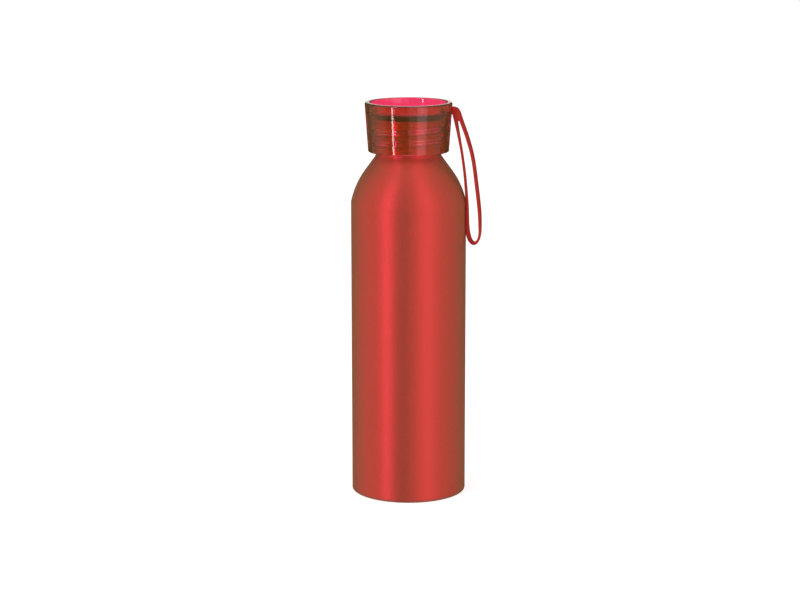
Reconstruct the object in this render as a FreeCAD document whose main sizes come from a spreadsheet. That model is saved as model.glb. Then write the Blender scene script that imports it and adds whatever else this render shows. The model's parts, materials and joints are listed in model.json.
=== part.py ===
import FreeCAD, Part
import math
import os

import Sketcher

# Aluminium drinking bottle with a clear screw lid and a silicone carry strap.
# Frame: millimetres, +Z up along the bottle's axis, origin on that axis in the plane the bottle stands
# on, and the strap hangs in the XZ plane on the +X side.

V = FreeCAD.Vector
doc = FreeCAD.newDocument("canteen")

# ---------------------------------------------------------------- driving dimensions

SIZES = (
    # the bottle: one piece of extruded aluminium, necked in at the shoulder, with a curled mouth
    ("body_radius", 33.0, "outside of the straight wall"),
    ("bottle_wall", 0.8, "wall, shoulder and neck"),
    ("base_wall", 1.4, "base, left thicker by the punch"),
    ("foot_round", 1.0, "outside edge of the base"),
    ("base_corner", 1.2, "inside edge of the base"),
    ("foot_width", 4.0, "flat ring that the bottle stands on"),
    ("dome_rise", 6.0, "how far the middle of the base is pushed up"),
    ("shoulder_height", 169.3, "end of the straight wall"),
    ("shoulder_break", 6.6, "radius of the soft break above the wall"),
    ("break_turn", 12.5, "degrees turned in that break"),
    ("shoulder_bend", 46.1, "radius of the shoulder"),
    ("cone_lean", 36.1, "degrees from upright where the shoulder runs out straight"),
    ("neck_root", 4.0, "radius in the corner between cone and neck"),
    ("neck_radius", 18.6, "outside of the neck, at the root of its thread"),
    ("curl_radius", 1.25, "rolled bead round the mouth"),
    ("curl_overhang", 0.25, "how far the bead stands proud of the neck"),
    ("neck_height", 20.65, "from the foot of the neck to the top of the rolled bead"),
    # the seal: a flat silicone ring under the lid's floor
    ("gasket_thickness", 1.85, "silicone ring"),
    ("gasket_bore", 15.0, "its inside radius"),
    ("gasket_edge", 0.4, "moulded round on its outside edges"),
    ("seal_gap", 0.1, "left between the bead and the ring before the lid is wrung down"),
    ("ring_clearance", 0.2, "between the ring and the lid's skirt"),
    ("floor_clearance", 0.05, "between the ring and the lid's floor"),
    # the lid: one clear moulding, a cup on top of a threaded skirt
    ("thread_space", 1.7, "from the neck to the lid's bore, for the thread"),
    ("skirt_wall", 2.8, "skirt wall at the lid's bottom edge"),
    ("skirt_lift", 0.8, "the lid's bottom edge above the foot of the neck"),
    ("floor_thickness", 1.0, "floor of the cup"),
    ("cup_depth", 5.45, "floor to rim"),
    ("lid_taper", 4.05, "degrees that the outside leans out"),
    ("rim_wall", 2.9, "cup wall at the rim"),
    ("cup_taper", 2.0, "draft in degrees inside the cup"),
    ("lid_edge", 0.7, "round on the rim and the bottom edge"),
    ("cup_corner", 0.6, "round between the cup's wall and floor"),
    ("bore_chamfer", 0.6, "lead-in at the bottom of the bore"),
    # the strap: one flat silicone moulding, buttoned through the cup's wall
    ("strap_thickness", 1.5, "silicone band"),
    ("strap_width", 3.6, "silicone band"),
    ("strap_edge", 0.45, "moulded round on its long edges"),
    ("root_reach", 2.65, "from the cup's outside to the line where the strap flexes"),
    ("knuckle_radius", 1.65, "rounded end where the two strands join"),
    ("web_drop", 3.2, "how far below the flex line the strands stay joined"),
    ("flex_gap", 0.35, "between the stem and the knuckle"),
    ("stem_height", 2.8, "the stem that passes through the cup's wall"),
    ("slot_clearance", 0.15, "round the stem in its slot"),
    ("button_thickness", 1.8, "retaining button inside the cup"),
    ("button_width", 7.0, "across the cup's wall"),
    ("button_height", 3.1, "up the cup's wall"),
    ("button_lift", 0.15, "from the cup's floor up to the button"),
    ("button_edge", 1.2, "round on its corners"),
    ("button_clearance", 0.5, "from the button's middle to the cup's wall"),
    ("strap_gap", 0.4, "between the strap and the bottle's wall"),
    ("strand_leave", 9.7, "how far under the shoulder the inner strand leaves the wall"),
    ("wall_run", 4.0, "straight stretch of the inner strand along the wall below that"),
    ("toe_bend_inner", 16.0, "radius where the inner strand leaves the wall"),
    ("toe_turn_inner", 29.5, "degrees turned there"),
    ("toe_bend", 2.4, "tight radius at the bottom of the loop"),
    ("toe_bend_outer", 9.0, "radius where the outer strand comes up"),
    ("toe_turn_outer", 30.5, "degrees turned there"),
)

sheet = doc.addObject("Spreadsheet::Sheet", "Sizes")
for row, (alias, value, meaning) in enumerate(SIZES, start=1):
    sheet.set("A%d" % row, meaning)
    sheet.set("B%d" % row, str(value))
    sheet.setAlias("B%d" % row, alias)
doc.recompute()

# Every {name} in an expression stands for a cell of the sheet, or for a place worked out from cells.
NAMES = {alias: "Sizes." + alias for alias, value, meaning in SIZES}


def expression(text):
    """The text with its {names} written out."""
    return text.format(**NAMES)


def derive(name, text):
    """Name a place or size that follows from others."""
    NAMES[name] = "(" + expression(text) + ")"


def number(text):
    """What an expression comes to."""
    return float(sheet.evalExpression(expression(text)))


# ---------------------------------------------------------------- drawing helpers

def start_body(label):
    """An empty body; its label names the piece."""
    body = doc.addObject("PartDesign::Body", label)
    body.Label = label
    return body


def sketch_on(body, role, name, offset=None):
    """A sketch on one of the body's own origin planes, moved off it by an expression if one is given."""
    sketch = body.newObject("Sketcher::SketchObject", name)
    plane = next(datum for datum in body.Origin.OriginFeatures if datum.Role == role)
    sketch.AttachmentSupport = [(plane, "")]
    sketch.MapMode = "FlatFace"
    if offset:
        sketch.setExpression("AttachmentOffset.Base.z", expression(offset))
    return sketch


def arc_between(first, last, radius, side):
    """The short arc between two points, with its centre on the left (+1) or right (-1) of the way."""
    chord = last - first
    left = V(-chord.y, chord.x, 0) / chord.Length
    height = math.sqrt(radius ** 2 - (chord.Length / 2) ** 2)
    centre = (first + last) * 0.5 + left * (side * height)
    begin, end = (first, last) if side > 0 else (last, first)
    angles = [math.atan2(point.y - centre.y, point.x - centre.x) for point in (begin, end)]
    return Part.ArcOfCircle(Part.Circle(centre, V(0, 0, 1), radius), *angles)


def bind(sketch, constraint, text):
    """Add a constraint and tie its value to an expression."""
    index = sketch.addConstraint(constraint)
    sketch.setExpression("Constraints[%d]" % index, expression(text))


def draw(sketch, places, closed=True):
    """Draw straight runs and arcs from place to place.

    A place is (x, y), reached by a straight run, or (x, y, radius, side), reached by an arc whose centre
    is on the left (+1) or the right (-1) of the way. Each number is an expression, and "0" puts the point
    on an axis. A closed outline ends by going on to its first place.
    """
    points = [V(number(place[0]), number(place[1]), 0) for place in places]
    targets = list(range(1, len(places))) + ([0] if closed else [])
    runs = []
    for target in targets:
        first, last = points[target - 1], points[target]
        if len(places[target]) == 2:
            runs.append((sketch.addGeometry(Part.LineSegment(first, last), False), 1, 2))
            continue
        radius, side = places[target][2:]
        index = sketch.addGeometry(arc_between(first, last, number(radius), side), False)
        bind(sketch, Sketcher.Constraint("Radius", index, number(radius)), radius)
        runs.append((index, 1, 2) if side > 0 else (index, 2, 1))
    following = runs[1:] + (runs[:1] if closed else [])
    for (index, begin, end), (other, other_begin, other_end) in zip(runs, following):
        sketch.addConstraint(Sketcher.Constraint("Coincident", index, end, other, other_begin))
    corners = [(index, begin) for index, begin, end in runs]
    if not closed:
        corners.append((runs[-1][0], runs[-1][2]))
    for (index, position), place in zip(corners, places):
        for axis, kind, text in ((-2, "DistanceX", place[0]), (-1, "DistanceY", place[1])):
            if text == "0":
                sketch.addConstraint(Sketcher.Constraint("PointOnObject", index, position, axis))
            else:
                bind(sketch, Sketcher.Constraint(kind, -1, 1, index, position, number(text)), text)


def draw_rounded_box(sketch, centre_y, width, height, corner):
    """A rectangle with rounded corners, with its centre on the sketch's upright axis."""
    def place(across, up, step_x, step_y):
        return ("%d * %s / 2 + %d * %s" % (across, width, step_x, corner),
                "%s + %d * %s / 2 + %d * %s" % (centre_y, up, height, step_y, corner))

    draw(sketch, [
        place(-1, -1, 1, 0) + (corner, 1),
        place(1, -1, -1, 0),
        place(1, -1, 0, 1) + (corner, 1),
        place(1, 1, 0, -1),
        place(1, 1, -1, 0) + (corner, 1),
        place(-1, 1, 1, 0),
        place(-1, 1, 0, -1) + (corner, 1),
        place(-1, -1, 0, 1),
    ])


def draw_circle(sketch, centre_x, centre_y, radius):
    """A full circle about a place."""
    circle = Part.Circle(V(number(centre_x), number(centre_y), 0), V(0, 0, 1), number(radius))
    index = sketch.addGeometry(circle, False)
    bind(sketch, Sketcher.Constraint("Radius", index, number(radius)), radius)
    bind(sketch, Sketcher.Constraint("DistanceX", -1, 1, index, 3, number(centre_x)), centre_x)
    bind(sketch, Sketcher.Constraint("DistanceY", -1, 1, index, 3, number(centre_y)), centre_y)


def turn(body, kind, sketch, name):
    """A full revolution or groove about the bottle's axis."""
    feature = body.newObject(kind, name)
    feature.Profile = sketch
    feature.ReferenceAxis = (sketch, ["V_Axis"])
    feature.Angle = 360


def pad(body, sketch, name, length, middle=False):
    """A pad whose length is an expression, to one side of its sketch or about it."""
    feature = body.newObject("PartDesign::Pad", name)
    feature.Profile = sketch
    feature.Midplane = middle
    feature.setExpression("Length", expression(length))


# ---------------------------------------------------------------- the bottle

derive("curl_x", "{neck_radius} + {curl_overhang} - {curl_radius}")
derive("foot_inner", "{body_radius} - {foot_round} - {foot_width}")
derive("dome_radius", "({foot_inner} ^ 2 + {dome_rise} ^ 2) / (2 * {dome_rise})")
derive("dome_inner", "sqrt({dome_rise} * (2 * ({dome_radius} + {base_wall}) - {dome_rise}))")
# centres of the three bends between the wall and the neck, each tangent to what it joins
derive("break_x", "{body_radius} - {shoulder_break}")
derive("bend_x", "{break_x} - ({shoulder_bend} - {shoulder_break}) * cos({break_turn})")
derive("bend_z", "{shoulder_height} - ({shoulder_bend} - {shoulder_break}) * sin({break_turn})")
derive("collar_x", "{neck_radius} + {neck_root}")
derive("collar_z", "{bend_z} + ({shoulder_bend} + {neck_root}"
       " - ({collar_x} - {bend_x}) * cos({cone_lean})) / sin({cone_lean})")
derive("mouth_height", "{collar_z} + {neck_height}")
derive("curl_z", "{mouth_height} - {curl_radius}")


def shoulder(depth):
    """From the top of the straight wall to the neck, at a depth under the outside."""
    return [
        ("{body_radius} - " + depth, "{shoulder_height}"),
        ("{break_x} + ({shoulder_break} - " + depth + ") * cos({break_turn})",
         "{shoulder_height} + ({shoulder_break} - " + depth + ") * sin({break_turn})",
         "{shoulder_break} - " + depth, 1),
        ("{bend_x} + ({shoulder_bend} - " + depth + ") * cos({cone_lean})",
         "{bend_z} + ({shoulder_bend} - " + depth + ") * sin({cone_lean})",
         "{shoulder_bend} - " + depth, 1),
        ("{collar_x} - ({neck_root} + " + depth + ") * cos({cone_lean})",
         "{collar_z} - ({neck_root} + " + depth + ") * sin({cone_lean})"),
        ("{neck_radius} - " + depth, "{collar_z}", "{neck_root} + " + depth, -1),
        ("{neck_radius} - " + depth, "{curl_z}"),
        ("0", "{curl_z}"),
    ]


def make_bottle_shell():
    """The outside is turned, the hollow is cut from it, and the mouth gets its rolled bead."""
    body = start_body("bottle_shell")
    outside = sketch_on(body, "XZ_Plane", "bottle_outside")
    draw(outside, [
        ("0", "{dome_rise}"),
        ("{foot_inner}", "0", "{dome_radius}", -1),
        ("{body_radius} - {foot_round}", "0"),
        ("{body_radius}", "{foot_round}", "{foot_round}", 1),
    ] + shoulder("0 * {bottle_wall}"))
    turn(body, "PartDesign::Revolution", outside, "bottle_blank")

    hollow = sketch_on(body, "XZ_Plane", "bottle_hollow")
    draw(hollow, [
        ("0", "{dome_rise} + {base_wall}"),
        ("{dome_inner}", "{base_wall}", "{dome_radius} + {base_wall}", -1),
        ("{body_radius} - {bottle_wall} - {base_corner}", "{base_wall}"),
        ("{body_radius} - {bottle_wall}", "{base_wall} + {base_corner}", "{base_corner}", 1),
    ] + shoulder("{bottle_wall}"))
    turn(body, "PartDesign::Groove", hollow, "bottle_inside")

    bead = sketch_on(body, "XZ_Plane", "mouth_bead")
    draw_circle(bead, "{curl_x}", "{curl_z}", "{curl_radius}")
    turn(body, "PartDesign::Revolution", bead, "mouth_curl")
    return body


# ---------------------------------------------------------------- the seal

derive("bore", "{neck_radius} + {thread_space}")
derive("gasket_radius", "{bore} - {ring_clearance}")
derive("gasket_bottom", "{mouth_height} + {seal_gap}")
derive("gasket_top", "{gasket_bottom} + {gasket_thickness}")


def make_lid_gasket():
    """A flat ring with rounded outside edges, between the mouth and the lid's floor."""
    body = start_body("lid_gasket")
    section = sketch_on(body, "XZ_Plane", "gasket_section")
    draw(section, [
        ("{gasket_bore}", "{gasket_bottom}"),
        ("{gasket_radius} - {gasket_edge}", "{gasket_bottom}"),
        ("{gasket_radius}", "{gasket_bottom} + {gasket_edge}", "{gasket_edge}", 1),
        ("{gasket_radius}", "{gasket_top} - {gasket_edge}"),
        ("{gasket_radius} - {gasket_edge}", "{gasket_top}", "{gasket_edge}", 1),
        ("{gasket_bore}", "{gasket_top}"),
    ])
    turn(body, "PartDesign::Revolution", section, "gasket_ring")
    return body


# ---------------------------------------------------------------- the lid

derive("floor_bottom", "{gasket_top} + {floor_clearance}")
derive("floor_top", "{floor_bottom} + {floor_thickness}")
derive("rim_height", "{floor_top} + {cup_depth}")
derive("lid_bottom", "{collar_z} + {skirt_lift}")
derive("flex_z", "{floor_top} + {button_lift} + {button_height} / 2")


def lid_outside(height):
    """Radius of the lid's tapered outside at a height."""
    return "({bore} + {skirt_wall} + (" + height + " - {lid_bottom}) * tan({lid_taper}))"


def cup_inside(height):
    """Radius of the cup's drafted inside at a height."""
    return "({rim_radius} - {rim_wall} - ({rim_height} - (" + height + ")) * tan({cup_taper}))"


derive("rim_radius", lid_outside("{rim_height}"))
# centres of the rounds in the lid's section
derive("edge_low_z", "{lid_bottom} + {lid_edge}")
derive("edge_low_x", lid_outside("{edge_low_z}") + " - {lid_edge} / cos({lid_taper})")
derive("edge_top_z", "{rim_height} - {lid_edge}")
derive("edge_outer_x", lid_outside("{edge_top_z}") + " - {lid_edge} / cos({lid_taper})")
derive("edge_inner_x", cup_inside("{edge_top_z}") + " + {lid_edge} / cos({cup_taper})")
derive("corner_z", "{floor_top} + {cup_corner}")
derive("corner_x", cup_inside("{corner_z}") + " - {cup_corner} / cos({cup_taper})")


def make_lid():
    """The section of cup, floor and skirt is turned, and the strap's slot is cut through the cup."""
    body = start_body("lid")
    section = sketch_on(body, "XZ_Plane", "lid_section")
    draw(section, [
        ("{bore} + {bore_chamfer}", "{lid_bottom}"),
        ("{edge_low_x}", "{lid_bottom}"),
        ("{edge_low_x} + {lid_edge} * cos({lid_taper})",
         "{edge_low_z} - {lid_edge} * sin({lid_taper})", "{lid_edge}", 1),
        ("{edge_outer_x} + {lid_edge} * cos({lid_taper})",
         "{edge_top_z} - {lid_edge} * sin({lid_taper})"),
        ("{edge_outer_x}", "{rim_height}", "{lid_edge}", 1),
        ("{edge_inner_x}", "{rim_height}"),
        ("{edge_inner_x} - {lid_edge} * cos({cup_taper})",
         "{edge_top_z} + {lid_edge} * sin({cup_taper})", "{lid_edge}", 1),
        ("{corner_x} + {cup_corner} * cos({cup_taper})",
         "{corner_z} - {cup_corner} * sin({cup_taper})"),
        ("{corner_x}", "{floor_top}", "{cup_corner}", -1),
        ("0", "{floor_top}"),
        ("0", "{floor_bottom}"),
        ("{bore}", "{floor_bottom}"),
        ("{bore}", "{lid_bottom} + {bore_chamfer}"),
    ])
    turn(body, "PartDesign::Revolution", section, "lid_moulding")
    doc.recompute()
    whole = body.Shape.Volume

    slot = sketch_on(body, "YZ_Plane", "slot_section")
    draw_rounded_box(slot, "{flex_z}", "({strap_width} + 2 * {slot_clearance})",
                     "({stem_height} + 2 * {slot_clearance})", "({strap_edge} + {slot_clearance})")
    cut = body.newObject("PartDesign::Pocket", "strap_slot")
    cut.Profile = slot
    cut.Type = "ThroughAll"
    cut.Reversed = True
    doc.recompute()
    if body.Shape.Volume >= whole:
        raise RuntimeError("the strap's slot cut nothing from the lid")
    return body


# ---------------------------------------------------------------- the strap

derive("flex_x", lid_outside("{flex_z}") + " + {root_reach}")
derive("stem_end", "{flex_x} - {knuckle_radius} - {flex_gap}")
derive("button_face", cup_inside("{flex_z}") + " - {button_clearance}")
derive("button_back", "{button_face} - {button_thickness}")
# the stem starts half way through the button, so that the two are one moulding
derive("stem_start", "{button_face} - {button_thickness} / 2")


def make_strap_button():
    """The end of the strap that stays with the lid: the button in the cup and the stem in the slot."""
    body = start_body("strap_button")
    button = sketch_on(body, "YZ_Plane", "button_outline", "{button_back}")
    draw_rounded_box(button, "{flex_z}", "{button_width}", "{button_height}", "{button_edge}")
    pad(body, button, "button", "{button_thickness}")
    stem = sketch_on(body, "YZ_Plane", "stem_section", "{stem_start}")
    draw_rounded_box(stem, "{flex_z}", "{strap_width}", "{stem_height}", "{strap_edge}")
    pad(body, stem, "stem", "{stem_end} - {stem_start}")
    return body


# The loop's middle line: the inner strand runs from the knuckle down to the bottle's wall in one arc and
# then along the wall, the toe turns in three arcs, and the outer strand goes back up in one arc. All are
# tangent where they meet.
derive("strand_offset", "{knuckle_radius} - {strap_thickness} / 2")
derive("inner_x", "{body_radius} + {strap_gap} + {strap_thickness} / 2")
derive("run_top", "{shoulder_height} - {strand_leave}")
derive("run_bottom", "{run_top} - {wall_run}")
derive("toe_z", "{run_bottom} - {toe_bend_inner} * sin({toe_turn_inner})"
       " - {toe_bend} * (1 - sin({toe_turn_inner}))")
derive("toe_inner_x", "{inner_x} + {toe_bend_inner} * (1 - cos({toe_turn_inner}))")
derive("toe_outer_x", "{toe_inner_x} + {toe_bend} * (cos({toe_turn_inner}) + cos({toe_turn_outer}))")
derive("outer_x", "{toe_outer_x} + {toe_bend_outer} * (1 - cos({toe_turn_outer}))")
derive("toe_outer_z", "{toe_z} + {toe_bend} * (1 - sin({toe_turn_outer}))")
derive("outer_z", "{toe_outer_z} + {toe_bend_outer} * sin({toe_turn_outer})")
derive("inner_across", "{inner_x} - {flex_x} + {strand_offset}")
derive("inner_up", "{flex_z} - {run_top}")
derive("inner_bend", "({inner_across} ^ 2 + {inner_up} ^ 2) / (2 * {inner_across})")
derive("outer_across", "{outer_x} - {flex_x} - {strand_offset}")
derive("outer_up", "{flex_z} - {outer_z}")
derive("outer_bend", "({outer_across} ^ 2 + {outer_up} ^ 2) / (2 * {outer_across})")
derive("web_z", "{flex_z} - {web_drop}")


def make_strap_loop():
    """The band is swept along its middle line, and its ends join in a rounded knuckle and a web."""
    body = start_body("strap_loop")
    line = sketch_on(body, "XZ_Plane", "loop_line")
    draw(line, [
        ("{flex_x} - {strand_offset}", "{flex_z}"),
        ("{inner_x}", "{run_top}", "{inner_bend}", -1),
        ("{inner_x}", "{run_bottom}"),
        ("{toe_inner_x}", "{run_bottom} - {toe_bend_inner} * sin({toe_turn_inner})",
         "{toe_bend_inner}", 1),
        ("{toe_outer_x}", "{toe_outer_z}", "{toe_bend}", 1),
        ("{outer_x}", "{outer_z}", "{toe_bend_outer}", 1),
        ("{flex_x} + {strand_offset}", "{flex_z}", "{outer_bend}", 1),
    ], closed=False)

    section = sketch_on(body, "XY_Plane", "band_section")
    section.AttachmentOffset = FreeCAD.Placement(V(), FreeCAD.Rotation(V(0, -1, 0), 10))
    section.setExpression("AttachmentOffset.Base.x", expression("{flex_x} - {strand_offset}"))
    section.setExpression("AttachmentOffset.Base.z", expression("{flex_z}"))
    section.setExpression("AttachmentOffset.Rotation.Angle",
                          expression("2 * atan({inner_across} / {inner_up})"))
    draw_rounded_box(section, "0", "{strap_thickness}", "{strap_width}", "{strap_edge}")
    band = body.newObject("PartDesign::AdditivePipe", "band")
    band.Profile = section
    band.Spine = (line, ["Edge%d" % edge for edge in range(1, line.GeometryCount + 1)])

    knuckle = sketch_on(body, "XZ_Plane", "knuckle_outline")
    draw_circle(knuckle, "{flex_x}", "{flex_z}", "{knuckle_radius}")
    pad(body, knuckle, "knuckle", "{strap_width}", middle=True)

    web = sketch_on(body, "XZ_Plane", "web_outline")
    draw(web, [
        ("{flex_x} - {strand_offset}", "{flex_z}"),
        ("{inner_x} - {inner_bend} + sqrt({inner_bend} ^ 2 - ({web_z} - {run_top}) ^ 2)", "{web_z}"),
        ("{outer_x} - {outer_bend} + sqrt({outer_bend} ^ 2 - ({web_z} - {outer_z}) ^ 2)", "{web_z}"),
        ("{flex_x} + {strand_offset}", "{flex_z}"),
    ])
    pad(body, web, "web", "{strap_width}", middle=True)
    return body


# ---------------------------------------------------------------- check and write

pieces = [make_bottle_shell(), make_lid_gasket(), make_lid(), make_strap_button(), make_strap_loop()]
doc.recompute()

for item in doc.Objects:
    if "Invalid" in item.State or "Error" in item.State:
        raise RuntimeError("%s did not recompute: %s" % (item.Name, item.State))

for piece in pieces:
    if piece.Shape.isNull() or not piece.Shape.isValid() or len(piece.Shape.Solids) != 1:
        raise RuntimeError("%s is not one valid solid" % piece.Label)

os.makedirs("parts", exist_ok=True)
for piece in pieces:
    piece.Shape.exportStep("parts/%s.step" % piece.Label)
    box = piece.Shape.BoundBox
    print("%-13s %8.1f mm3  x %.2f..%.2f  y %.2f..%.2f  z %.2f..%.2f" % (
        piece.Label, piece.Shape.Volume, box.XMin, box.XMax, box.YMin, box.YMax, box.ZMin, box.ZMax))
print("flex line at x %.3f, z %.3f" % (number("{flex_x}"), number("{flex_z}")))
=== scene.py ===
"""Studio picture of a red aluminium drinking bottle with a clear screw lid and a silicone carry strap.

Lengths are written in millimetres, and MM turns them into Blender's metres; the camera and the lamps are
placed in metres. The bottle's axis is Z, it stands on z = 0, and the strap hangs in the XZ plane on the +X
side.
"""
import json
import math

import bpy
import numpy as np
from mathutils import Matrix, Vector


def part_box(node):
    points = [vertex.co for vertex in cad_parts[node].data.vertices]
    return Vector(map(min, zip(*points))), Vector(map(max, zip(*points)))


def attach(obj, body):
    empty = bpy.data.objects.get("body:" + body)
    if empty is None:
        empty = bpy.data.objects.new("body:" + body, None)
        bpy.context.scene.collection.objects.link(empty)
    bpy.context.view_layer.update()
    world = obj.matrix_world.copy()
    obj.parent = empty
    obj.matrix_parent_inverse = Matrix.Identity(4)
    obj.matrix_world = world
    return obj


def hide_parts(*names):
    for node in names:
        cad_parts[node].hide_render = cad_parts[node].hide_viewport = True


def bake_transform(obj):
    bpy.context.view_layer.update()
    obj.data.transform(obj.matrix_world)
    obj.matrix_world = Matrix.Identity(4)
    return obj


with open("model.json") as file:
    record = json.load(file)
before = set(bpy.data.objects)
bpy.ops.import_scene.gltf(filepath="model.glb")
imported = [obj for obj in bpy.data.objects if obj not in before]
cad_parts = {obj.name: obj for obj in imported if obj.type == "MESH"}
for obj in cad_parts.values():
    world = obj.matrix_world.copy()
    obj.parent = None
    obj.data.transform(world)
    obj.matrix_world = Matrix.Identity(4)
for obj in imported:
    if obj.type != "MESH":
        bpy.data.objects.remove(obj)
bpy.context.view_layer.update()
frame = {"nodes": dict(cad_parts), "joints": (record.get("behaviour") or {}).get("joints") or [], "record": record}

MM = 0.001
SCENE = bpy.context.scene

# ---------------------------------------------------------------- sizes shared by several pieces, in mm


def box_mm(node):
    """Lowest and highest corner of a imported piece, in mm."""
    low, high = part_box(node)
    return low / MM, high / MM


LID_BOTTOM, LID_TOP = (corner.z for corner in box_mm("lid"))
GASKET_TOP = box_mm("lid_gasket")[1].z
NECK_RADIUS = 18.6

# the lid: radius of its bore, walls, leans from upright, and rounds
BORE = 20.3
SKIRT_WALL = 2.8
RIM_WALL = 2.9
FLOOR_THICKNESS = 1.0
LID_TAPER = math.radians(4.05)
CUP_TAPER = math.radians(2.0)
BOTTOM_EDGE = 0.7
RIM_OUTER_EDGE = 1.1
RIM_INNER_EDGE = 0.7
CUP_CORNER = 0.6
BORE_CHAMFER = 0.6
# wrung down, the lid presses its floor a little into the soft ring
PRESSED_IN = 0.03
FLOOR_BOTTOM = GASKET_TOP - PRESSED_IN
FLOOR_TOP = FLOOR_BOTTOM + FLOOR_THICKNESS

# the screw thread's pitch is how far the lid rises in one turn
LIFT_PER_RADIAN = frame["record"]["behaviour"]["couplings"][0]["ratio"] / MM
PITCH = 2 * math.pi * LIFT_PER_RADIAN
# one place on the crest of the neck's ridge, at the camera's left, and from where to where each ridge runs
THREAD_ANGLE = math.radians(-169)
THREAD_HEIGHT_THERE = LID_BOTTOM + 8.7
NECK_THREAD_SPAN = (LID_BOTTOM + 2.3, LID_BOTTOM + 15.6)
NECK_THREAD_RISE = 1.2
LID_THREAD_SPAN = (LID_BOTTOM + 2.9, LID_BOTTOM + 17.4)
LID_THREAD_RISE = 0.9

# the strap is laid out from the height of the line where it flexes
FLEX_Z = next(joint["pos_m"][2] for joint in frame["joints"] if joint["name"] == "strap_swing") / MM
STRAP_THICKNESS = 1.5
STRAP_WIDTH = 3.6
STRAP_EDGE = 0.45

# ---------------------------------------------------------------- meshes


def mesh_piece(name, points, faces, material, slot=None):
    """An object from points in mm, smooth apart from its real corners; slot is not used."""
    mesh = bpy.data.meshes.new(name)
    mesh.from_pydata([tuple(c * MM for c in point) for point in points], [], faces)
    mesh.polygons.foreach_set("use_smooth", [True] * len(mesh.polygons))
    mesh.set_sharp_from_angle(angle=math.radians(40))
    mesh.materials.append(material)
    piece = bpy.data.objects.new(name, mesh)
    SCENE.collection.objects.link(piece)
    return piece


def apply_modifiers(piece):
    """Replace the piece's mesh by what its modifiers make of it."""
    graph = bpy.context.evaluated_depsgraph_get()
    mesh = bpy.data.meshes.new_from_object(piece.evaluated_get(graph))
    piece.modifiers.clear()
    piece.data = mesh


def around(radius, angle, height):
    """A point at an angle round the bottle's axis."""
    return radius * math.cos(angle), radius * math.sin(angle), height


def arc(centre, radius, start, end, steps):
    """Points on an arc, with angles in degrees."""
    for step in range(steps + 1):
        angle = math.radians(start + (end - start) * step / steps)
        yield centre[0] + radius * math.cos(angle), centre[1] + radius * math.sin(angle)


def skin(rings, closed=True):
    """Faces between rings of as many points each; closed joins each ring's last point to its first."""
    count = len(rings[0])
    last = count if closed else count - 1
    points = [point for ring in rings for point in ring]
    faces = []
    for row in range(len(rings) - 1):
        for column in range(last):
            following = (column + 1) % count
            a, b = row * count + column, row * count + following
            faces.append((a, b, b + count, a + count))
    return points, faces


def add_caps(points, faces, count):
    """Close both ends of a skin with one flat face each."""
    faces.append(tuple(reversed(range(count))))
    faces.append(tuple(range(len(points) - count, len(points))))


# ---------------------------------------------------------------- node and colour helpers


def linear(code):
    """An sRGB hex colour as the linear RGBA that Blender's sockets take."""
    channels = [int(code[i:i + 2], 16) / 255 for i in (1, 3, 5)]
    return [c / 12.92 if c <= 0.04045 else ((c + 0.055) / 1.055) ** 2.4 for c in channels] + [1.0]


def add_node(tree, kind, inputs=None, **settings):
    """A node with its settings; inputs maps a socket's name or place to a value or to another socket."""
    node = tree.nodes.new("ShaderNode" + kind)
    for name, value in settings.items():
        setattr(node, name, value)
    for name, value in (inputs or {}).items():
        if isinstance(value, bpy.types.NodeSocket):
            tree.links.new(value, node.inputs[name])
        else:
            node.inputs[name].default_value = value
    return node


def new_tree(owner):
    """The empty node tree of a material or a world, and its output node."""
    owner.use_nodes = True
    tree = owner.node_tree
    tree.nodes.clear()
    kind = "OutputWorld" if isinstance(owner, bpy.types.World) else "OutputMaterial"
    return tree, add_node(tree, kind)


# ---------------------------------------------------------------- materials


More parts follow.
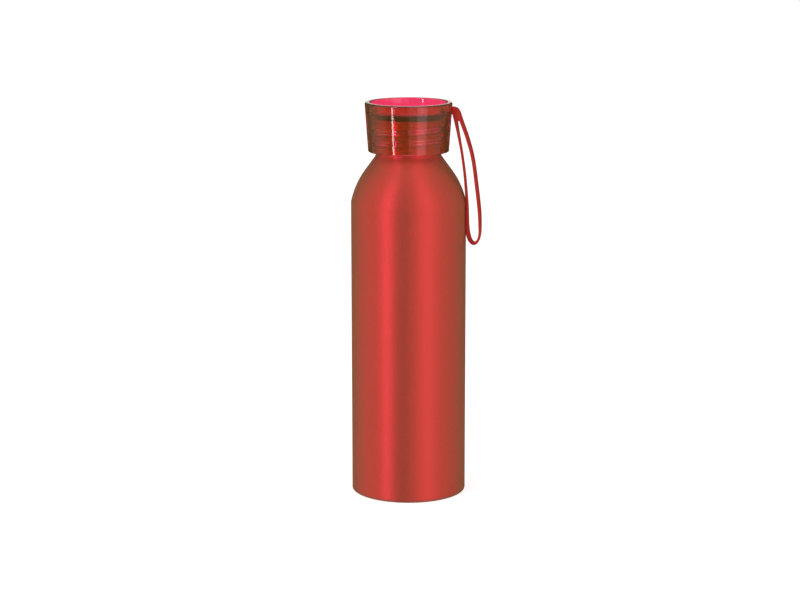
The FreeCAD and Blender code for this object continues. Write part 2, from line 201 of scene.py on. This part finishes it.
def satin_red_aluminium():
    """Aluminium, grit blasted, anodised red and sealed; bare and grey inside.

    Blasting leaves a fine even grain that spreads each highlight into a soft band and makes it sparkle a
    little; the clear seal coat adds a pale haze towards the edges. The foot is darkened towards the
    bottom with painted shade, and its ring is rubbed lighter.
    """
    material = bpy.data.materials.new("satin_red_aluminium")
    tree, out = new_tree(material)
    place = add_node(tree, "TexCoord").outputs["Object"]
    # blasting grain is about 0.1 mm; it is drawn at 1.1 mm so that it shows at this distance
    grain = add_node(tree, "TexNoise", {"Vector": place, "Scale": 1 / (1.1 * MM), "Detail": 3.0})
    # slow differences in depth of colour, about 25 mm wide, that a dye bath leaves
    cloud = add_node(tree, "TexNoise", {"Vector": place, "Scale": 1 / (25 * MM), "Detail": 1.0})
    red = add_node(tree, "Mix", {
        "Factor": grain.outputs["Fac"], 6: linear("#CC002A"), 7: linear("#FF2446")}, data_type="RGBA")
    red = add_node(tree, "Mix", {
        "Factor": cloud.outputs["Fac"], 6: red.outputs[2], 7: linear("#E41034")}, data_type="RGBA")

    # the inside faces the axis: there the outward direction and the normal point opposite ways, and the
    # 0.2 mm keeps level faces out. The base ends below 7.6 mm; its pushed-up underside faces the axis too,
    # but keeps its red.
    position = add_node(tree, "SeparateXYZ", {0: place})
    normal = add_node(tree, "SeparateXYZ", {0: add_node(tree, "NewGeometry").outputs["Normal"]})
    across = add_node(tree, "Math", {0: position.outputs["X"], 1: normal.outputs["X"]}, operation="MULTIPLY")
    outward = add_node(tree, "Math", {
        0: position.outputs["Y"], 1: normal.outputs["Y"], 2: across.outputs[0]}, operation="MULTIPLY_ADD")
    inward = add_node(tree, "Math", {0: outward.outputs[0], 1: -0.2 * MM}, operation="LESS_THAN")
    above_base = add_node(tree, "Math", {0: position.outputs["Z"], 1: 7.6 * MM}, operation="GREATER_THAN")
    inside = add_node(tree, "Math", {0: inward.outputs[0], 1: above_base.outputs[0]}, operation="MULTIPLY")
    colour = add_node(tree, "Mix", {
        "Factor": inside.outputs[0], 6: red.outputs[2], 7: linear("#B9B6B0")}, data_type="RGBA")

    # painted shade: the lowest two millimetres darken towards the bottom, standing in for the floor's shade seen
    # in the rounded foot
    painted_foot_shade = add_node(tree, "MapRange", {
        "Value": position.outputs["Z"], "From Min": 0.5 * MM, "From Max": 2.1 * MM,
        "To Min": 0.85, "To Max": 0.0})
    colour = add_node(tree, "Mix", {
        "Factor": painted_foot_shade.outputs[0], 6: colour.outputs[2], 7: linear("#A04048")}, data_type="RGBA")
    # the standing ring loses its grain and some of its dye in the lowest half millimetre
    rub = add_node(tree, "MapRange", {
        "Value": position.outputs["Z"], "From Min": 0.1 * MM, "From Max": 0.6 * MM,
        "To Min": 1.0, "To Max": 0.0})
    rubbed = add_node(tree, "Math", {0: rub.outputs[0], 1: grain.outputs["Fac"]}, operation="MULTIPLY")
    colour = add_node(tree, "Mix", {
        "Factor": rubbed.outputs[0], 6: colour.outputs[2], 7: linear("#D98F86")}, data_type="RGBA")

    rough = add_node(tree, "MapRange", {
        "Value": grain.outputs["Fac"], "From Min": 0.3, "From Max": 0.7, "To Min": 0.38, "To Max": 0.52})
    bump = add_node(tree, "Bump", {
        "Height": grain.outputs["Fac"], "Strength": 0.5, "Distance": 0.08 * MM})
    shader = add_node(tree, "BsdfPrincipled", {
        "Base Color": colour.outputs[2], "Metallic": 1.0, "Roughness": rough.outputs[0],
        "Normal": bump.outputs[0], "Coat Weight": 0.2, "Coat Roughness": 0.35,
        "Sheen Weight": 0.24, "Sheen Roughness": 1.0, "Sheen Tint": linear("#FFEAA0")})
    tree.links.new(shader.outputs[0], out.inputs["Surface"])
    return material


def clear_red_san(name, roughness):
    """SAN, a hard clear plastic, injection moulded and tinted red in the mass.

    Where its tool was polished it is clear as glass with a tight gloss, and where it was blasted it is
    matt. Moulding leaves it faintly wavy, and a thin film from handling dulls it a little.
    """
    material = bpy.data.materials.new(name)
    tree, out = new_tree(material)
    place = add_node(tree, "TexCoord").outputs["Object"]
    # the flow of the plastic leaves waves about 9 mm long and a few thousandths of a millimetre deep
    waves = add_node(tree, "TexNoise", {"Vector": place, "Scale": 1 / (9 * MM), "Detail": 0.0})
    bump = add_node(tree, "Bump", {"Height": waves.outputs["Fac"], "Strength": 0.3, "Distance": 0.002 * MM})
    shader = add_node(tree, "BsdfPrincipled", {
        "Base Color": linear("#FC346C"), "Roughness": roughness, "IOR": 1.57, "Transmission Weight": 1.0,
        "Sheen Weight": 0.1, "Sheen Roughness": 1.0, "Sheen Tint": linear("#FFE65A"),
        "Normal": bump.outputs[0]})
    tree.links.new(shader.outputs[0], out.inputs["Surface"])
    return material


def black_silicone():
    """Silicone rubber, compression moulded black: soft, faintly greasy sheen with a fine matt grain."""
    material = bpy.data.materials.new("black_silicone")
    tree, out = new_tree(material)
    place = add_node(tree, "TexCoord").outputs["Object"]
    # the mould's matt grain is about 0.05 mm; it is drawn at 0.2 mm so that it shows
    grain = add_node(tree, "TexNoise", {"Vector": place, "Scale": 1 / (0.2 * MM), "Detail": 1.0})
    bump = add_node(tree, "Bump", {"Height": grain.outputs["Fac"], "Strength": 0.2, "Distance": 0.02 * MM})
    rough = add_node(tree, "MapRange", {"Value": grain.outputs["Fac"], "To Min": 0.45, "To Max": 0.6})
    shader = add_node(tree, "BsdfPrincipled", {
        "Base Color": linear("#2A2B28"), "Roughness": rough.outputs[0], "IOR": 1.41,
        "Normal": bump.outputs[0]})
    tree.links.new(shader.outputs[0], out.inputs["Surface"])
    return material


def red_silicone():
    """Silicone rubber, compression moulded red in a satin tool.

    It has a soft skin-like sheen, darkens a little where dust and finger grease sit, and lets a little
    light into its surface.
    """
    material = bpy.data.materials.new("red_silicone")
    tree, out = new_tree(material)
    place = add_node(tree, "TexCoord").outputs["Object"]
    # the satin of the tool is about 0.05 mm; it is drawn at 0.25 mm so that it shows
    grain = add_node(tree, "TexNoise", {"Vector": place, "Scale": 1 / (0.25 * MM), "Detail": 2.0})
    # handling leaves patches about 12 mm long
    patches = add_node(tree, "TexNoise", {"Vector": place, "Scale": 1 / (12 * MM), "Detail": 2.0})
    colour = add_node(tree, "Mix", {
        "Factor": patches.outputs["Fac"], 6: linear("#B81E0E"), 7: linear("#C62816")}, data_type="RGBA")
    rough = add_node(tree, "MapRange", {"Value": patches.outputs["Fac"], "To Min": 0.38, "To Max": 0.55})
    bump = add_node(tree, "Bump", {"Height": grain.outputs["Fac"], "Strength": 0.2, "Distance": 0.02 * MM})
    shader = add_node(tree, "BsdfPrincipled", {
        "Base Color": colour.outputs[2], "Roughness": rough.outputs[0], "IOR": 1.41,
        "Subsurface Weight": 0.08, "Subsurface Radius": (1.2, 0.25, 0.15), "Subsurface Scale": 0.6 * MM,
        "Normal": bump.outputs[0]})
    tree.links.new(shader.outputs[0], out.inputs["Surface"])
    return material


# ---------------------------------------------------------------- the bottle


def dress(name, material):
    """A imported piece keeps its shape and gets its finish."""
    for slot in frame["nodes"][name].material_slots:
        slot.material = material


def crest_height(angle):
    """Height of the neck thread's crest at an angle round the axis, which counts on past a full turn."""
    return THREAD_HEIGHT_THERE + PITCH * (angle - THREAD_ANGLE) / (2 * math.pi)


def make_neck_thread(material):
    """One rolled ridge that climbs round the neck, runs out softly at both ends and sinks into it there."""
    steps_per_turn = 144
    run_out, sink = math.radians(40), 0.15
    back_radius = NECK_RADIUS - 3 * sink
    # across the ridge: distance along the axis and share of the full rise
    section = [(-1.35, -0.1), (-1.0, 0.12), (-0.7, 0.55), (-0.45, 0.9), (-0.2, 1.0),
               (0.2, 1.0), (0.45, 0.9), (0.7, 0.55), (1.0, 0.12), (1.35, -0.1)]
    low, high = NECK_THREAD_SPAN
    first = THREAD_ANGLE + (low - THREAD_HEIGHT_THERE) / LIFT_PER_RADIAN
    last = THREAD_ANGLE + (high - THREAD_HEIGHT_THERE) / LIFT_PER_RADIAN
    steps = round((last - first) / (2 * math.pi) * steps_per_turn)
    rings = []
    for step in range(steps + 1):
        angle = first + (last - first) * step / steps
        to_end = min(angle - first, last - angle)
        fade = min(1.0, to_end / run_out)
        fade = fade * fade * (3 - 2 * fade)
        ring = []
        for along, share in section:
            radius = NECK_RADIUS + share * NECK_THREAD_RISE * fade - sink * (1 - fade)
            ring.append(around(radius, angle, crest_height(angle) + along))
        # the back of the ridge lies inside the neck's wall
        for along in (section[-1][0], section[0][0]):
            ring.append(around(back_radius, angle, crest_height(angle) + along))
        rings.append(ring)
    points, faces = skin(rings)
    add_caps(points, faces, len(rings[0]))
    piece = mesh_piece("neck_thread", points, faces, material, "red_aluminium")
    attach(piece, "bottle")


# ---------------------------------------------------------------- the lid


def outside_radius(height):
    """The lid's tapered outside."""
    return BORE + SKIRT_WALL + (height - LID_BOTTOM) * math.tan(LID_TAPER)


def cup_radius(height):
    """The cup's drafted inside."""
    return outside_radius(LID_TOP) - RIM_WALL - (LID_TOP - height) * math.tan(CUP_TAPER)


def lid_thread(angle, height):
    """How far the lid's inner ridge stands in from the bore; it runs half a pitch off the neck's."""
    low, high = LID_THREAD_SPAN
    run_out, half_width, slope = 1.2, 1.3, 0.8
    end_fade = min(1.0, max(0.0, height - low) / run_out, max(0.0, high - height) / run_out)
    turns = (height - crest_height(angle)) / PITCH
    off_crest = abs((turns % 1.0) - 0.5) * PITCH
    flank = min(1.0, max(0.0, (half_width - off_crest) / slope))
    return LID_THREAD_RISE * end_fade * flank * flank * (3 - 2 * flank)


def lid_profile():
    """Half section from the middle of the floor's underside, down the bore, up the outside, over the rim
    and back to the middle of the cup. Each point is (radius, height, whether the thread is on it)."""
    taper, draft = math.degrees(LID_TAPER), math.degrees(CUP_TAPER)
    floor_rings, root_land, bore_step = (6.0, 12.0, 18.0), 0.25, 0.28
    profile = [(radius, FLOOR_BOTTOM, False) for radius in (0.0, *floor_rings, BORE - root_land)]
    # the bore, in rows fine enough to carry the thread
    bore_low = LID_BOTTOM + BORE_CHAMFER
    rows = round((FLOOR_BOTTOM - bore_low) / bore_step)
    for row in range(rows + 1):
        profile.append((BORE, FLOOR_BOTTOM + (bore_low - FLOOR_BOTTOM) * row / rows, True))
    profile.append((BORE + BORE_CHAMFER, LID_BOTTOM, False))
    # the outside
    low = LID_BOTTOM + BOTTOM_EDGE
    centre = (outside_radius(low) - BOTTOM_EDGE / math.cos(LID_TAPER), low)
    profile += [(x, z, False) for x, z in arc(centre, BOTTOM_EDGE, -90, -taper, 6)]
    top = LID_TOP - RIM_OUTER_EDGE
    for share in (0.25, 0.5, 0.75):
        height = low + (top - low) * share
        profile.append((outside_radius(height), height, False))
    centre = (outside_radius(top) - RIM_OUTER_EDGE / math.cos(LID_TAPER), top)
    profile += [(x, z, False) for x, z in arc(centre, RIM_OUTER_EDGE, -taper, 90, 9)]
    # the cup
    top = LID_TOP - RIM_INNER_EDGE
    centre = (cup_radius(top) + RIM_INNER_EDGE / math.cos(CUP_TAPER), top)
    profile += [(x, z, False) for x, z in arc(centre, RIM_INNER_EDGE, 90, 180 - draft, 7)]
    height = FLOOR_TOP + CUP_CORNER
    centre = (cup_radius(height) - CUP_CORNER / math.cos(CUP_TAPER), height)
    profile += [(x, z, False) for x, z in arc(centre, CUP_CORNER, -draft, -90, 6)]
    profile += [(radius, FLOOR_TOP, False) for radius in (*reversed(floor_rings), 0.0)]
    return profile


def make_lid(material, matt_material):
    """One clear moulding with its inner thread and a matt underside to its floor."""
    segments = 192
    rings = []
    profile = lid_profile()
    for radius, height, threaded in profile[1:-1]:
        ring = []
        for segment in range(segments):
            angle = 2 * math.pi * segment / segments
            ridge = lid_thread(angle, height) if threaded else 0.0
            ring.append(around(radius - ridge, angle, height))
        rings.append(ring)
    points, faces = skin(rings)
    # the middles of the floor's two sides
    under, over = len(points), len(points) + 1
    points += [(0.0, 0.0, profile[0][1]), (0.0, 0.0, profile[-1][1])]
    last_ring = (len(rings) - 1) * segments
    for segment in range(segments):
        following = (segment + 1) % segments
        faces.append((following, segment, under))
        faces.append((last_ring + segment, last_ring + following, over))
    piece = mesh_piece("screw_lid", points, faces, material, "clear_red_plastic")
    piece.data.materials.append(matt_material)
    tolerance, matt_radius = 0.01, BORE - 0.3
    for face in piece.data.polygons:
        x, y, z = face.center / MM
        if abs(z - FLOOR_BOTTOM) < tolerance and math.hypot(x, y) < matt_radius:
            face.material_index = 1
    cut_slot(piece, material)
    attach(piece, "lid")
    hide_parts("lid")


def rounded_box(half_width, half_height, corner, steps=4):
    """Outline of a rectangle with rounded corners, about its middle."""
    outline = []
    for turn, (side, up) in enumerate(((1, 1), (-1, 1), (-1, -1), (1, -1))):
        centre = (side * (half_width - corner), up * (half_height - corner))
        outline += list(arc(centre, corner, 90 * turn, 90 * turn + 90, steps))
    return outline


def cut_slot(lid, material):
    """The strap's slot through the cup's wall on the +X side."""
    clearance, stem_height = 0.15, 2.8
    inside_x, outside_x = 18.0, 28.0
    outline = rounded_box(STRAP_WIDTH / 2 + clearance, stem_height / 2 + clearance, STRAP_EDGE + clearance)
    rings = [[(x, y, FLEX_Z + z) for y, z in outline] for x in (inside_x, outside_x)]
    points, faces = skin(rings)
    add_caps(points, faces, len(outline))
    cutter = mesh_piece("slot_cutter", points, faces, material)
    cut = lid.modifiers.new("slot", "BOOLEAN")
    cut.operation = "DIFFERENCE"
    cut.solver = "EXACT"
    cut.object = cutter
    apply_modifiers(lid)
    bpy.data.objects.remove(cutter)


# ---------------------------------------------------------------- the strap

# Middle lines in the XZ plane, as (x, height from the flex line, twist in degrees). The loop leaves the
# button, hangs down and comes back to it, and turns a little about its own line, as a hanging band does.
LOOP = [
    (20.6, 0.65, 0), (23.4, 0.65, 0), (24.9, 0.8, 0), (26.3, 0.75, 0), (27.6, 0.3, 2), (28.5, -0.75, 6),
    (29.25, -2.6, 12), (30.85, -7.4, 14), (34.1, -16.3, 12), (37.3, -28.1, 9), (39.65, -44.7, 10),
    (41.1, -57.2, 10), (41.52, -65.7, 5), (41.4, -71.4, -3), (40.2, -75.1, -4), (38.2, -76.55, -8),
    (36.2, -75.1, -16), (34.9, -71.9, -20), (34.3, -67.5, -14), (34.2, -62.7, -6), (34.1, -56.2, 0),
    (33.7, -49.7, 3), (32.65, -37.7, 6), (30.95, -25.3, 8), (29.0, -14.9, 3), (27.6, -7.8, -6),
    (26.8, -4.6, -6), (26.1, -2.7, 0), (25.1, -1.4, 0), (23.6, -0.7, 0), (20.6, -0.65, 0),
]
# the root, where the two strands stay joined
WEB = [(25.2, -0.3, 0), (26.9, -1.0, 0), (27.8, -3.0, 0), (28.75, -6.7, 0)]
WEB_THICKNESS = 2.4
# the button, and how much of its full outline it has at each x
BUTTON_WIDTH, BUTTON_HEIGHT, BUTTON_CORNER = 7.0, 3.1, 1.2
BUTTON_SHARES = ((19.8, 0.86), (20.2, 1.0), (21.3, 1.0), (21.6, 0.92))


def smooth_line(places, step=0.35):
    """Points about a step apart on a Catmull-Rom curve through the places."""
    known = np.array(places, float)
    known = np.vstack([2 * known[0] - known[1], known, 2 * known[-1] - known[-2]])
    line = []
    for a, b, c, d in zip(known, known[1:], known[2:], known[3:]):
        count = max(2, round(np.linalg.norm((c - b)[:2]) / step))
        for t in np.arange(count) / count:
            line.append(0.5 * (2 * b + (c - a) * t + (2 * a - 5 * b + 4 * c - d) * t ** 2
                               + (3 * b - a - 3 * c + d) * t ** 3))
    line.append(known[-2])
    return line


def band(places, thickness):
    """A flat band as wide as the strap along a middle line in the XZ plane."""
    line = smooth_line([(x, FLEX_Z + rise, twist) for x, rise, twist in places])
    outline = rounded_box(STRAP_WIDTH / 2, thickness / 2, STRAP_EDGE, steps=3)
    rings = []
    for index, (x, z, twist) in enumerate(line):
        before, after = line[max(index - 1, 0)], line[min(index + 1, len(line) - 1)]
        along = Vector((after[0] - before[0], 0, after[1] - before[1])).normalized()
        turn = Matrix.Rotation(math.radians(twist), 3, along)
        wide = turn @ Vector((0, 1, 0))
        thick = wide.cross(along)
        centre = Vector((x, 0, z))
        rings.append([tuple(centre + wide * across + thick * up) for across, up in outline])
    points, faces = skin(rings)
    add_caps(points, faces, len(outline))
    return points, faces


def make_strap(material):
    """Loop, stem and button as one moulding, joined at its root between lid and loop."""
    parts = [band(LOOP, STRAP_THICKNESS), band(WEB, WEB_THICKNESS)]
    outline = rounded_box(BUTTON_WIDTH / 2, BUTTON_HEIGHT / 2, BUTTON_CORNER)
    rings = [[(x, y * share, FLEX_Z + z * share) for y, z in outline] for x, share in BUTTON_SHARES]
    points, faces = skin(rings)
    add_caps(points, faces, len(outline))
    parts.append((points, faces))
    all_points, all_faces = [], []
    for points, faces in parts:
        shift = len(all_points)
        all_points += points
        all_faces += [tuple(index + shift for index in face) for face in faces]
    piece = mesh_piece("carry_strap", all_points, all_faces, material, "strap_silicone")
    weld = piece.modifiers.new("one_moulding", "REMESH")
    weld.mode = "VOXEL"
    weld.voxel_size = 0.17 * MM
    soften = piece.modifiers.new("soften", "SMOOTH")
    soften.factor = 0.5
    soften.iterations = 12
    apply_modifiers(piece)
    piece.data.polygons.foreach_set("use_smooth", [True] * len(piece.data.polygons))
    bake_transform(piece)
    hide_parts("strap_button", "strap_loop")


# ---------------------------------------------------------------- studio

CAMERA_AZIMUTH = math.radians(11.0)

# two tall lamps, in metres: name, azimuth in degrees from the camera's side to the right, width and
# radiance
LAMP_DISTANCE, LAMP_BOTTOM, LAMP_TOP = 1.3, -0.6, 3.0
LAMPS = (
    ("strip_lamp", -43.5, 0.085, 10.8),
    ("soft_lamp", 37, 0.62, 0.84),
)

# what hangs round the bottle, in mm: name, from and to in degrees, grey and, where it reaches higher than
# the others, its top. The gap behind the bottle stays white.
SHEET_DISTANCE, SHEET_BOTTOM, SHEET_TOP = 1500, -3000, 3300
# a sheet turns in flats of about so many degrees
SHEET_STEP = 5
# these sheets are a little warm
SHEET_TONE = (1.0, 0.92, 0.78)
GREY_SHEETS = (
    ("front_sheet", -60, 0, 0.08, 9000),
    ("right_sheet", 0, 100, 0.5),
    ("back_right_sheet", 100, 128, 0.3),
    ("right_flag", 128, 169, 0.04),
    ("left_flag", -169, -128, 0.04),
    ("back_left_sheet", -128, -105, 0.3),
    ("left_sheet", -105, -70, 0.54),
    ("near_left_sheet", -70, -60, 0.35),
)
# a sheet lies under them, and the floor reaches past them
LOW_SHEET_HEIGHT, LOW_SHEET_TONE = -2900, (0.45, 0.45, 0.43)
FLOOR_REACH = 4000


def from_camera_side(azimuth, distance):
    """The turn in radians, and x and y, of a place round the bottle; azimuth is in degrees from the
    camera's side, to the right."""
    turn = CAMERA_AZIMUTH + math.radians(azimuth)
    return turn, distance * math.sin(turn), -distance * math.cos(turn)


def square(reach, height):
    """A level square about the axis."""
    points = [(a * reach, b * reach, height) for a, b in ((-1, -1), (1, -1), (1, 1), (-1, 1))]
    return points, [(0, 1, 2, 3)]


def area_lamp(name, azimuth, width, radiance):
    """A tall soft lamp facing the bottle."""
    light = bpy.data.lights.new(name, "AREA")
    light.shape = "RECTANGLE"
    light.size, light.size_y = width, LAMP_TOP - LAMP_BOTTOM
    light.energy = radiance * math.pi * light.size * light.size_y
    lamp = bpy.data.objects.new(name, light)
    turn, x, y = from_camera_side(azimuth, LAMP_DISTANCE)
    lamp.location = (x, y, (LAMP_BOTTOM + LAMP_TOP) / 2)
    lamp.rotation_euler = (math.pi / 2, 0, turn)
    SCENE.collection.objects.link(lamp)


def studio_sheet(name, points, faces, tone):
    """A plain sheet that only reflections and the clear lid see; it keeps the room's white off them."""
    material = bpy.data.materials.new(name)
    tree, out = new_tree(material)
    glow = add_node(tree, "Emission", {"Color": [*tone, 1.0], "Strength": 1.0})
    tree.links.new(glow.outputs[0], out.inputs["Surface"])
    sheet = mesh_piece(name, points, faces, material)
    sheet.visible_camera = False
    sheet.visible_diffuse = False
    sheet.visible_shadow = False


def hanging_sheet(name, start, end, grey, top=SHEET_TOP):
    """A grey sheet hung round the bottle from one azimuth to another."""
    steps = max(1, round((end - start) / SHEET_STEP))
    rings = []
    for step in range(steps + 1):
        turn, x, y = from_camera_side(start + (end - start) * step / steps, SHEET_DISTANCE)
        rings.append([(x, y, SHEET_BOTTOM), (x, y, top)])
    points, faces = skin(rings, closed=False)
    studio_sheet(name, points, faces, [grey * channel for channel in SHEET_TONE])


def low_sheet():
    """A grey sheet that lies under the hanging ones, so that the rounded foot has no white under it."""
    studio_sheet("low_sheet", *square(SHEET_DISTANCE, LOW_SHEET_HEIGHT), LOW_SHEET_TONE)


def make_floor():
    """A pale floor that is white where nothing shades it."""
    material = bpy.data.materials.new("studio_floor")
    tree, out = new_tree(material)
    paths = add_node(tree, "LightPath")
    # for the camera alone it glows a little, so that it is pure white outside the bottle's shade
    lift = add_node(tree, "Math", {0: paths.outputs["Is Camera Ray"], 1: 0.6}, operation="MULTIPLY")
    paint = add_node(tree, "BsdfDiffuse", {"Color": linear("#F6F6F6")})
    glow = add_node(tree, "Emission", {"Strength": lift.outputs[0]})
    both = add_node(tree, "AddShader", {0: paint.outputs[0], 1: glow.outputs[0]})
    tree.links.new(both.outputs[0], out.inputs["Surface"])
    floor = mesh_piece("studio_floor", *square(FLOOR_REACH, 0), material)
    floor.visible_glossy = False
    floor.visible_transmission = False
    floor.visible_shadow = False


def make_world():
    """A plain white studio: white to the eye and in gloss and glass, grey as a light on matt surfaces."""
    world = bpy.data.worlds.new("studio")
    SCENE.world = world
    tree, out = new_tree(world)
    paths = add_node(tree, "LightPath")
    seen = add_node(tree, "Math", {
        0: paths.outputs["Is Camera Ray"], 1: paths.outputs["Is Glossy Ray"]}, operation="MAXIMUM")
    seen = add_node(tree, "Math", {
        0: seen.outputs[0], 1: paths.outputs["Is Transmission Ray"]}, operation="MAXIMUM")
    fill = add_node(tree, "Background", {"Color": (1, 1, 1, 1), "Strength": 0.5})
    white = add_node(tree, "Background", {"Color": (1, 1, 1, 1), "Strength": 1.0})
    both = add_node(tree, "MixShader", {0: seen.outputs[0], 1: fill.outputs[0], 2: white.outputs[0]})
    tree.links.new(both.outputs[0], out.inputs["Surface"])


def make_camera():
    """The photograph's viewpoint: a little above the lid and looking down on it."""
    distance, height, looks_down = 1.198, 0.3601, math.radians(11.68)
    data = bpy.data.cameras.new("camera")
    data.lens = 95.2
    data.sensor_width = 36.0
    data.shift_x = -0.0107
    data.shift_y = -0.0003
    data.clip_start, data.clip_end = 0.05, 20.0
    camera = bpy.data.objects.new("camera", data)
    camera.location = (distance * math.sin(CAMERA_AZIMUTH), -distance * math.cos(CAMERA_AZIMUTH), height)
    camera.rotation_euler = (math.pi / 2 - looks_down, 0, CAMERA_AZIMUTH)
    SCENE.collection.objects.link(camera)
    SCENE.camera = camera


def main():
    """Set up the studio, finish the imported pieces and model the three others."""
    make_camera()
    make_world()
    make_floor()
    for lamp in LAMPS:
        area_lamp(*lamp)
    for sheet in GREY_SHEETS:
        hanging_sheet(*sheet)
    low_sheet()
    aluminium = satin_red_aluminium()
    dress("bottle_shell", aluminium)
    make_neck_thread(aluminium)
    dress("lid_gasket", black_silicone())
    make_lid(clear_red_san("clear_red_san", roughness=0.06), clear_red_san("matt_red_san", roughness=0.5))
    make_strap(red_silicone())
    SCENE.view_settings.view_transform = "Standard"


main()
